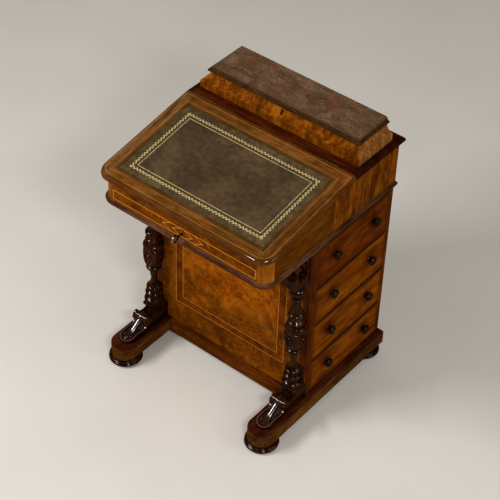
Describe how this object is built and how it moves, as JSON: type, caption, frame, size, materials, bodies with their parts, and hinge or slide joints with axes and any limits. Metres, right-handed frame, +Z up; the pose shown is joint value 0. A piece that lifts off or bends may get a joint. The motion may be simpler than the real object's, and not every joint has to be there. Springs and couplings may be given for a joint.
{
  "type": "davenport desk",
  "caption": "Small walnut davenport writing desk with a sloping leather-lined lid over a well, stationery box, side drawers, turned front columns and sledge feet.",
  "frame": {"origin": "on the floor, in the middle of the overall width and depth (the key in front included)", "axes": "+Z up, front (knee side, keyhole) towards -Y, working drawers towards +X"},
  "size_m": [0.573, 0.5781, 0.799],
  "materials": {
    "rail_walnut": "polished",
    "dark_walnut": "high polish",
    "burr_walnut": "french polished",
    "walnut": "french polished",
    "red_walnut": "french polished",
    "lid_walnut": "french polished",
    "faded_walnut": "satin, faded",
    "lining_wood": "plain",
    "leather": "tooled and gilt",
    "brass": "aged",
    "steel": "aged"
  },
  "bodies": {
    "carcass": {"back_stiles": "walnut", "bun_feet": "dark_walnut", "case_back": "walnut", "case_bottom": "lining_wood", "case_corner_posts": "burr_walnut", "case_front": "burr_walnut", "case_left": "walnut", "case_moulding": "red_walnut", "case_right": "walnut", "column_left": "dark_walnut", "column_right": "dark_walnut", "dummy_drawer_fronts": "walnut", "dummy_knobs": "dark_walnut", "dust_boards": "lining_wood", "fixed_shelf": "red_walnut", "fret_bracket_left": "dark_walnut", "fret_bracket_right": "dark_walnut", "front_stiles": "walnut", "keyhole_escutcheon": "brass", "lid_hinge_fixed_leaves": "brass", "lid_hinge_pins": "brass", "lock_case": "brass", "pedestal_back": "walnut", "pedestal_bottom": "lining_wood", "pedestal_front": "burr_walnut", "pedestal_left": "walnut", "pigeonhole_partitions": "lining_wood", "plinth_back": "rail_walnut", "plinth_front": "rail_walnut", "scroll_toe_left": "dark_walnut", "scroll_toe_right": "dark_walnut", "side_rail_left": "rail_walnut", "side_rail_right": "rail_walnut", "stationery_back": "walnut", "stationery_bottom": "lining_wood", "stationery_dividers": "lining_wood", "stationery_front": "burr_walnut", "stationery_hinge_fixed_leaves": "brass", "stationery_hinge_pins": "brass", "stationery_lock": "brass", "stationery_sides": "burr_walnut"},
    "writing_lid": {"writing_lid": "lid_walnut", "lid_leather": "leather", "lid_hinge_moving_leaves": "brass"},
    "stationery_lid": {"stationery_lid": "faded_walnut", "stationery_hinge_moving_leaves": "brass"},
    "key": {"key": "brass"},
    "lock_bolt": {"lock_bolt": "steel"},
    "drawer_1": {"drawer_1_front": "walnut", "drawer_1_box": "lining_wood", "drawer_1_knobs": "dark_walnut"},
    "drawer_2": {"drawer_2_front": "walnut", "drawer_2_box": "lining_wood", "drawer_2_knobs": "dark_walnut"},
    "drawer_3": {"drawer_3_front": "walnut", "drawer_3_box": "lining_wood", "drawer_3_knobs": "dark_walnut"},
    "drawer_4": {"drawer_4_front": "walnut", "drawer_4_box": "lining_wood", "drawer_4_knobs": "dark_walnut"}
  },
  "joints": [
    {"name": "writing_lid_hinge", "type": "hinge", "parent": "carcass", "child": "writing_lid", "pos_m": [0, 0.08, 0.736], "axis": [-1, 0, 0], "range_deg": [0, 140]},
    {"name": "stationery_lid_hinge", "type": "hinge", "parent": "carcass", "child": "stationery_lid", "pos_m": [0, 0.253, 0.783], "axis": [-1, 0, 0], "range_deg": [0, 100]},
    {"name": "drawer_1_slide", "type": "slide", "parent": "carcass", "child": "drawer_1", "axis": [1, 0, 0], "range_m": [0, 0.36]},
    {"name": "drawer_2_slide", "type": "slide", "parent": "carcass", "child": "drawer_2", "axis": [1, 0, 0], "range_m": [0, 0.36]},
    {"name": "drawer_3_slide", "type": "slide", "parent": "carcass", "child": "drawer_3", "axis": [1, 0, 0], "range_m": [0, 0.36]},
    {"name": "drawer_4_slide", "type": "slide", "parent": "carcass", "child": "drawer_4", "axis": [1, 0, 0], "range_m": [0, 0.36]},
    {"name": "key_turn", "type": "hinge", "parent": "carcass", "child": "key", "pos_m": [0, -0.249, 0.617], "axis": [0, 1, 0], "range_deg": [0, 180]},
    {"name": "bolt_slide", "type": "slide", "parent": "carcass", "child": "lock_bolt", "axis": [0, 0, 1], "range_m": [0, 0.0068]}
  ],
  "couplings": [
    {"joint": "bolt_slide", "follows": "key_turn", "m_per_rad": 0.0021644}
  ]
}
